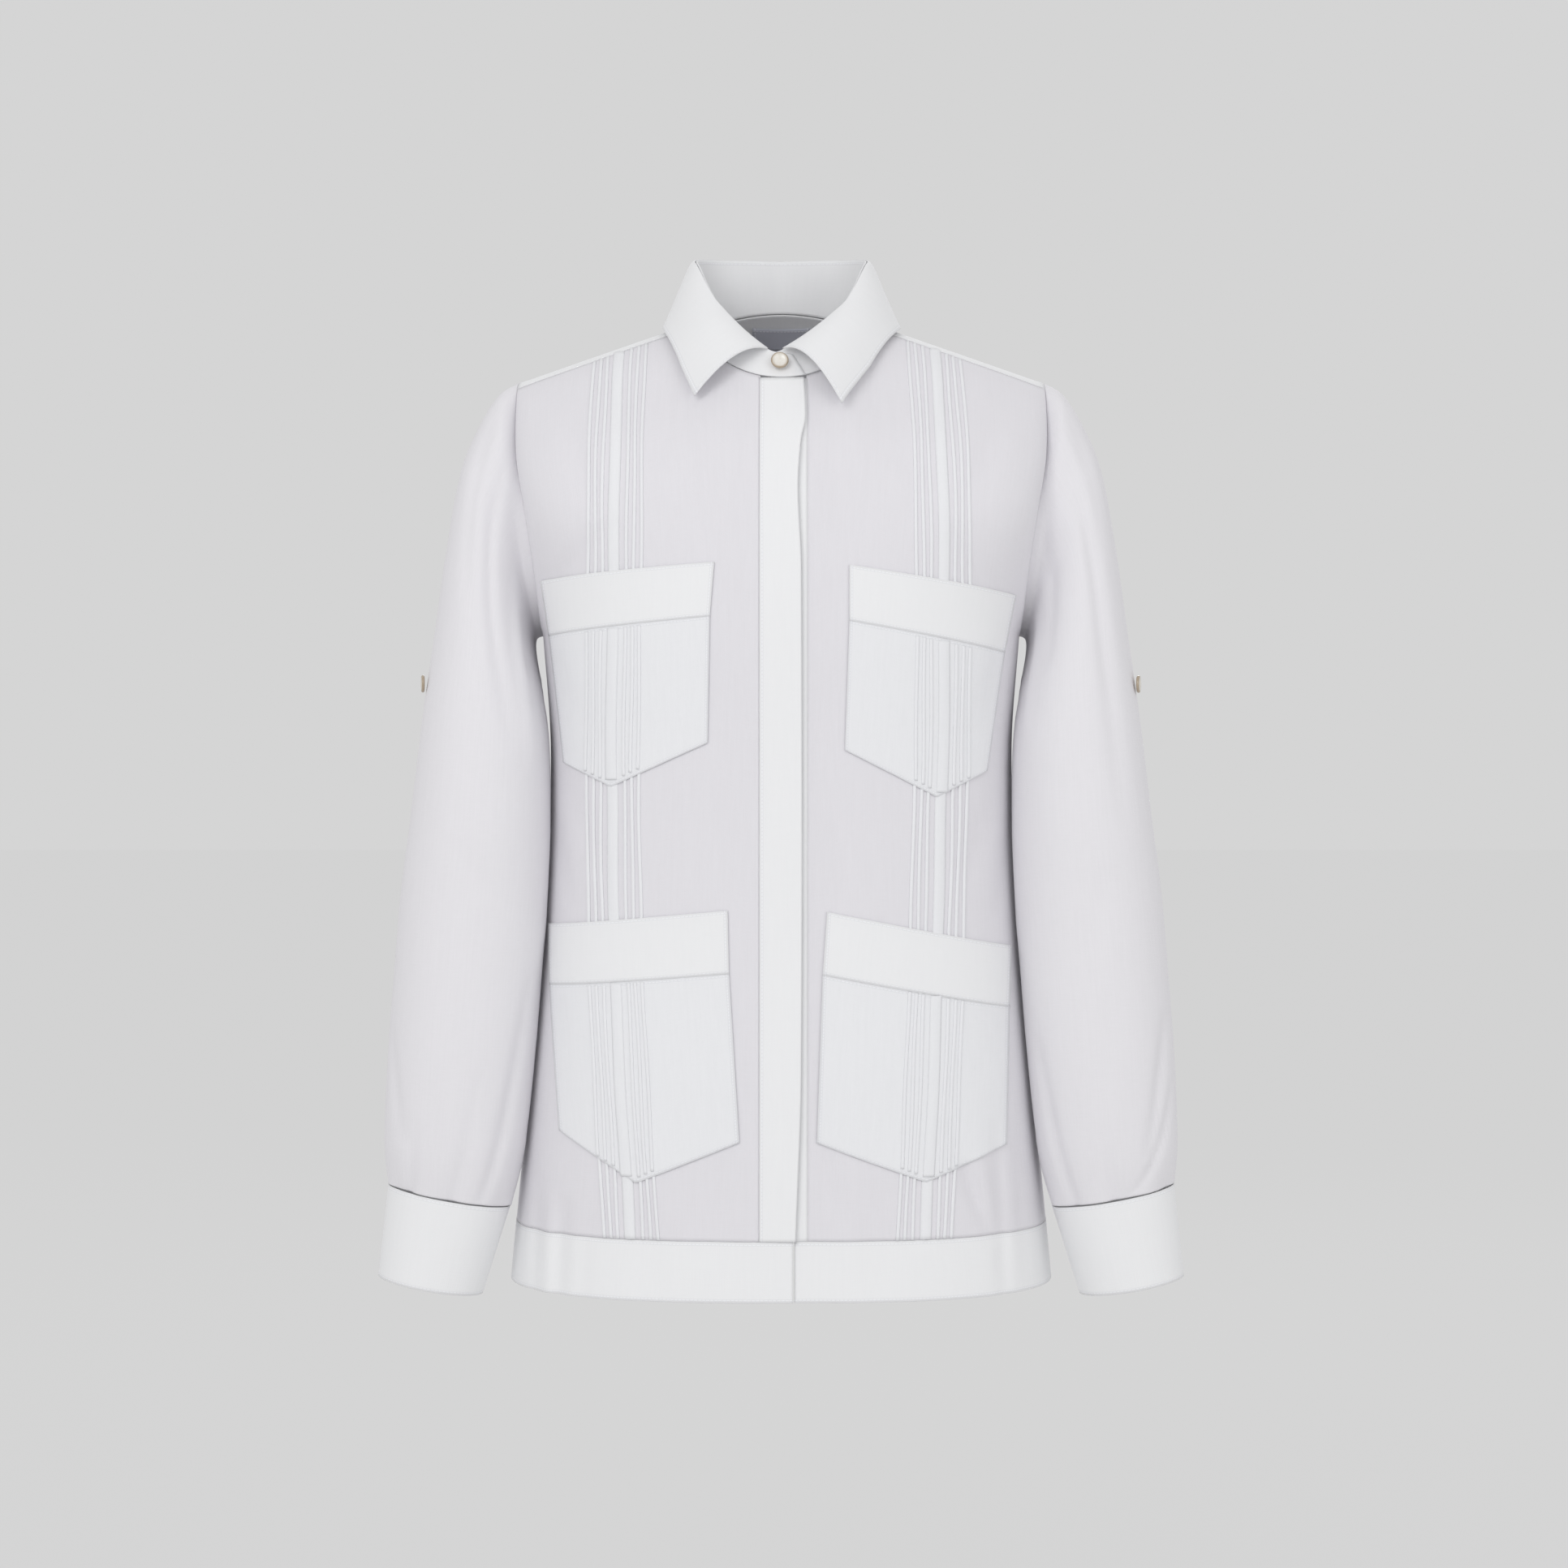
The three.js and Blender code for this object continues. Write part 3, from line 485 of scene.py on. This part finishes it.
def oval(table, row, side, angle):
    near = (1 + cos(angle)) / 2
    return Vector((side * mix(table["inner_x"][row], table["outer_x"][row], near),
                   table["middle"][row] - table["depth"][row] * sin(angle),
                   mix(table["inner_z"][row], table["outer_z"][row], near)))


def armhole(side, angle):
    z = mix(UNDERARM, ridge(SHOULDER_TIP), (1 + cos(angle)) / 2)
    point = body(-1 if angle <= pi else 1, side * column(BODY, "side", "height", z), z)
    point.x += side * 0.4
    return point


def sleeve_place(side):
    lines = {}

    def place(u, v):
        angle = (u % 1) * 2 * pi
        if angle not in lines:
            lines[angle] = [armhole(side, angle)]
            lines[angle] += [oval(SLEEVE, row, side, angle) for row in range(RINGS)]
        points = lines[angle]
        ring = v * RINGS
        row = min(int(ring), RINGS - 1)
        t = ring - row
        before, start, end, after = (points[clamp(row + step, 0, RINGS)] for step in (-1, 0, 1, 2))
        point = 0.5 * (2 * start + (end - before) * t + (2 * before - 5 * start + 4 * end - after) * t * t
                       + (3 * start - before - 3 * end + after) * t ** 3)
        around = angle * 180 / pi
        drag = 0.0
        for (a1, r1), (a2, r2), wide, deep in SLEEVE_CREASES[side]:
            along = (ring - r1) / (r2 - r1)
            if 0 < along < 1:
                off = (around - mix(a1, a2, along)) / wide
                drag += deep * exp(-off * off) * sin(pi * along) ** 0.7
        gathered = clamp(max(ring - (RINGS - 1), 0) ** 2)
        pleats = 0.9 * sin(angle * 7 + 0.6 * side) * gathered
        out = Vector((side * cos(angle), -sin(angle), 0))
        return off_body(point + out * (drag + pleats), side)
    return place


def cuff_place(side):
    def place(u, v):
        angle = (u % 1) * 2 * pi
        return oval(CUFF, 0, side, angle).lerp(oval(CUFF, 1, side, angle), v)
    return place


for name, side in (("right", -1), ("left", 1)):
    arm = Vector((side * 0.215, -0.03, -0.3))
    sewn(f"sleeve_{name}", (96, 240), sleeve_place(side), (0.460, 0.600), SHADE_SLEEVE,
         ("top", "foot"), closed=True, inside=arm)
    wrist = Vector((side * 0.236, -0.057, -0.65))
    sewn(f"cuff_{name}", (96, 26), cuff_place(side), (0.224, 0.066), SHADE_FOLDED,
         ("top", "foot"), TWO_LAYERS, closed=True, inside=wrist, depth=0.6)

# Collar: a stand rising from the neck seam, lapped at the front, and a leaf with long points
# that turns down over it. Both are two layers with a light stiffener.
FOLD_LINE = {"turn": (-0.1, 0, 0.3, 0.5, 0.65, 0.82, 1), "x": (-10, 9, 43, 58, 60, 42, 0),
             "y": (-74, -73, -47, -13, 12, 37, 48), "z": (-33, -29, 6, 38, 48, 52, 53)}
LEAF_EDGE = {"turn": (0, 0.18, 0.35, 0.5, 0.66, 0.82, 1), "stand": (8, 6, 4, 4, 4, 4, 4),
             "right": (60, 71, 83, 84, 72, 42, 0), "right_tilt": (-62, -45, -18, 4, 24, 37, 41),
             "left": (42, 61, 83, 84, 72, 42, 0), "left_tilt": (-71, -50, -17, 4, 24, 37, 41)}
LEAF_GAP, LEAF_RISE, LEAF_ROLL, LEAF_CROWN = 1.3, 3, 16, 0.42


def neck_point(side, turn):
    angle = pi * turn
    return over_shoulder(side * NECK * sin(angle), neck_tilt(angle))


def fold_point(side, turn):
    shift = 8 * max(0, 1 - turn / 0.3) if side > 0 else 0
    x, y, z = (column(FOLD_LINE, name, "turn", turn) for name in "xyz")
    return Vector((side * (x - shift), y, z))


def stand_place(u, v):
    value = mix(-1.09, 1.05, u)
    side, turn = (-1 if value < 0 else 1), 1 - abs(value)
    point = neck_point(side, turn).lerp(fold_point(side, turn), mix(0.02, 1, v))
    point.y += UNDER_INSET * max(0, 1 - turn / 0.16) if side > 0 else 0
    return point


def leaf_place(u, v):
    value = mix(-1, 1, u)
    side, turn = (-1 if value < 0 else 1), 1 - abs(value)
    half = "right" if side < 0 else "left"
    head = fold_point(side, turn)
    tilt = column(LEAF_EDGE, f"{half}_tilt", "turn", turn)
    foot = over_shoulder(side * column(LEAF_EDGE, half, "turn", turn), tilt)
    stand = column(LEAF_EDGE, "stand", "turn", turn)
    foot += Vector((0, sin(radians(tilt)), cos(radians(tilt)))) * stand
    along = fold_point(side, min(turn + 0.02, 1)) - fold_point(side, turn - 0.02)
    away = along.cross(head - neck_point(side, turn)).normalized()
    head += away * (LEAF_GAP if away.x * head.x + away.y * head.y > 0 else -LEAF_GAP)
    crown = head.lerp(foot, LEAF_CROWN)
    crown.z = head.z + LEAF_RISE
    crown.y -= LEAF_ROLL * max(0, 1 - turn / 0.5)
    return head * (1 - v) ** 2 + crown * (2 * v * (1 - v)) + foot * v * v


sewn("collar_stand", (150, 20), stand_place, (0.400, 0.037), SHADE_FOLDED,
     ("foot",), TWO_LAYERS, depth=0.6)
sewn("collar", (180, 40), leaf_place, (0.470, 0.058), SHADE_FOLDED,
     ("left", "right", "foot"), 0.0011, depth=0.6)

# Plackets: a folded strip hides the front buttons, and its loose edge wavers; below it the left
# front's own doubled strip shows as a whiter line, painted lighter as doubled cloth is.
PLACKET_LEFT = -14.7
PLACKET_RIGHT = {"height": (-45, -80, -95, -130, -185, -530, -642),
                 "x": (15.4, 16.6, 13.6, 11.4, 13.5, 13.4, 9.6)}


def placket_place(u, v):
    z = mix(front_top(0) - 0.3, BAND_TOP + 0.2, v)
    x = mix(PLACKET_LEFT, column(PLACKET_RIGHT, "x", "height", z), u)
    return body(-1, x, z, 0.5 + 0.8 * u)


def under_place(u, v):
    point = body(-1, mix(-11, UNDER_RIGHT, u), mix(front_top(0) - 0.3, BAND_TOP + 0.2, v))
    point.y += UNDER_INSET
    return point


sewn("placket", (22, 220), placket_place, (0.029, 0.592), SHADE_FOLDED, ("left",),
     TWO_LAYERS, depth=0.6)
sewn("placket_under", (12, 200), under_place, (0.029, 0.592), SHADE_FOLDED, (),
     0.0008, depth=0.6)

# Tucks: narrow pleats pressed and sewn down the whole front, three, then a flat double one, then
# three more. They show again on each pocket, where its own tucks meet those of the front. The line
# they follow is kept for the right front (-1) and the left (1), and each starts so far from it.
TUCK_LINE = {"height": (-20, -175, -400, -683), -1: (95, 94, 95, 80), 1: (89, 91, 88, 76)}
TUCKS = ((0, 2.2), (5, 2.2), (10, 2.2), (16, 8), (27, 2.2), (32, 2.2), (37, 2.2))


def tuck_place(side, start, wide, top, foot, lift, height):
    def place(u, v):
        z = mix(top, foot, v)
        line = column(TUCK_LINE, side, "height", z) + start + 0.35 * sin(z * 0.05 + start)
        return on_front(side, line + wide * u, z, lift + height * min(1, 3 * u, 3.2 * (1 - u)) + 0.1)
    return place


for name, side, panel, area in (("right", -1, front_right, 0.139), ("left", 1, front_left, 0.137)):
    for number, (start, wide) in enumerate(TUCKS):
        head = front_top(column(TUCK_LINE, side, "height", -20) + start) - 1
        node = f"tuck_{name}_{number + 1}"
        sewn(node, (6, 200), tuck_place(side, start, wide, head, BAND_TOP + 0.5, 0.3, 0.8),
                           (wide / 1000, 0.61), SHADE_POCKET, thick=0.0004)

# Pockets: patches of one layer with a pointed foot and a deep doubled band along the top, sewn
# near the edges. A row holds the side, the band's top corners, its seam's, the foot's inner corner,
# tip and outer corner, as distances from the middle of the front and heights, and the cut's area.
POCKETS = {
    "upper_right": (-1, (45, -181), (167, -190), (48, -218), (162, -228),
                    (49.5, -304), (116, -334), (151, -317), 0.0126),
    "upper_left": (1, (46, -183), (163, -200), (46, -221), (155, -240),
                   (43, -309), (106, -341), (142, -323), 0.0114),
    "lower_right": (-1, (36, -418), (163, -430), (35, -461), (161, -472),
                    (28, -575), (98, -603.5), (152.5, -571), 0.0155),
    "lower_left": (1, (31, -419), (160, -445), (28, -462), (158, -487),
                   (24, -575.5), (98, -603), (155, -581), 0.0159),
}
POCKET_LIFT = 1.4
POCKET_WIDE, BAND_WIDE, BAND_TURN = 0.130, 0.124, 0.006


def foot_height(foot_in, tip, foot_out, u):
    """The height of a pocket's pointed foot at a share of its width."""
    at = (tip[0] - foot_in[0]) / (foot_out[0] - foot_in[0])
    if u < at:
        return mix(foot_in[1], tip[1], u / at)
    return mix(tip[1], foot_out[1], (u - at) / (1 - at))


def patch(side, head_in, head_out, foot_in, foot_out, tip=None):
    def place(u, v):
        foot_z = foot_height(foot_in, tip, foot_out, u) if tip else mix(foot_in[1], foot_out[1], u)
        x = mix(mix(head_in[0], head_out[0], u), mix(foot_in[0], foot_out[0], u), v)
        z = mix(mix(head_in[1], head_out[1], u), foot_z, v)
        slack = 0 if tip else 0.32 * exp(-(v / 0.12) ** 2) * sin(pi * u)
        return on_front(side, x, z, POCKET_LIFT + slack)
    return place


for name, (side, top_in, top_out, seam_in, seam_out, foot_in, tip, foot_out, area) in POCKETS.items():
    tall = abs(tip[1] - seam_in[1]) / 1000
    bag_size = (POCKET_WIDE, tall)
    band_size = (BAND_WIDE, abs(top_in[1] - seam_in[1]) / 1000 + BAND_TURN)
    bag = sewn(f"pocket_{name}", (60, 60), patch(side, seam_in, seam_out, foot_in, foot_out, tip),
               bag_size, SHADE_POCKET, ("left", "right", "top", "foot"))
    sewn(f"pocket_band_{name}", (60, 18), patch(side, top_in, top_out, seam_in, seam_out), band_size,
         SHADE_FOLDED, ("left", "right", "top", "foot"), TWO_LAYERS, depth=0.6)
    for number, (start, wide) in enumerate(TUCKS):
        line = column(TUCK_LINE, side, "height", tip[1]) + start
        share = clamp((line - foot_in[0]) / (foot_out[0] - foot_in[0]))
        head = mix(seam_in[1], seam_out[1], share) - 1
        foot = foot_height(foot_in, tip, foot_out, share)
        sewn(f"pocket_tuck_{name}_{number + 1}", (6, 60),
                           tuck_place(side, start, wide, head, foot + 3, POCKET_LIFT + 0.3, 0.6),
                           (wide / 1000, abs(foot - head) / 1000), SHADE_POCKET, thick=0.0003,
                           own_solid=False)


# Label: a small blank woven tape, sewn inside the yoke just under the collar's seam. It is a single
# layer of tape, greyer than the linen, and carries nothing.
def label_place(u, v):
    return body(1, mix(-21.5, 21.5, u), mix(6, -8, v), -1.2)


sewn("neck_label", (16, 8), label_place, (0.043, 0.016), (0.55, 0.56, 0.63),
     ("left", "right", "top"), 0.0004, depth=0.5)


# Buttons: turned discs of a pearly plastic with a rounded brownish rim and a dished face, sewn on
# at the collar, on each sleeve and on each cuff. The profile gives radii and heights in millimetres.
def pearl_finish():
    material = bpy.data.materials.new("pearl")
    material.use_nodes = True
    tree = material.node_tree
    shell = tree.nodes["Principled BSDF"]
    start = Wire(tree)
    spot = start.node("ShaderNodeTexCoord", {}, {}, 3)
    cloud = start.node("ShaderNodeTexNoise", {}, {"Vector": spot, "Scale": 420.0, "Detail": 3.0})
    rim = start.node("ShaderNodeAttribute", {"attribute_name": "rim"}, {}, 2)
    pale = start.node("ShaderNodeMix", {"data_type": "RGBA"},
                      {0: cloud, 6: (0.72, 0.68, 0.6, 1), 7: (0.93, 0.91, 0.87, 1)}, 2)
    colour = start.node("ShaderNodeMix", {"data_type": "RGBA"},
                        {0: rim * 0.85, 6: pale, 7: (0.36, 0.27, 0.17, 1)}, 2)
    tree.links.new(colour.socket, shell.inputs["Base Color"])
    tree.links.new((0.22 + cloud * 0.2).socket, shell.inputs["Roughness"])
    shell.inputs["Coat Weight"].default_value = 0.5
    return material


pearl = pearl_finish()
PROFILE = ((0, 1.7), (2.6, 1.7), (3.6, 2.1), (4.6, 2.6), (5.5, 2.5), (6.1, 1.9), (6.2, 1.2),
           (5.6, 0.4), (0, 0.2))
HALF_THICK = 1.3


def button(node):
    low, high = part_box(node)
    centre = (Vector(low) + Vector(high)) / 2
    if node == "button_collar":
        axis = Vector((0.05, -1, 0.35))
    else:
        side = -1 if centre.x < 0 else 1
        front = {"button_sleeve_right": 0.19, "button_sleeve_left": 0.26}.get(node, -1.15)
        axis = Vector((side, -front, 0))
    mesh = bmesh.new()
    verts = [mesh.verts.new((radius / 1000, 0, (height - HALF_THICK) / 1000)) for radius, height in PROFILE]
    edges = [mesh.edges.new(pair) for pair in zip(verts, verts[1:])]
    bmesh.ops.spin(mesh, geom=verts + edges, cent=(0, 0, 0), axis=(0, 0, 1), angle=2 * pi, steps=40,
                   use_merge=True)
    bmesh.ops.remove_doubles(mesh, verts=mesh.verts, dist=0.000002)
    bmesh.ops.recalc_face_normals(mesh, faces=mesh.faces)
    brown = mesh.verts.layers.float.new("rim")
    for vert in mesh.verts:
        vert[brown] = clamp((hypot(vert.co.x, vert.co.y) * 1000 - 4.3) / 1.2)
    turn = axis.to_track_quat("Z", "Y").to_matrix()
    for vert in mesh.verts:
        vert.co = turn @ vert.co + centre
    for face in mesh.faces:
        face.smooth = True
    disc = bpy.data.objects.new(node + "_disc", bpy.data.meshes.new(node))
    mesh.to_mesh(disc.data)
    disc.data.materials.append(pearl)
    scene.collection.objects.link(disc)
    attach(disc, "root")
    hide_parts(node)


for node in ("button_collar", "button_sleeve_right", "button_sleeve_left", "button_cuff_right",
             "button_cuff_left"):
    button(node)
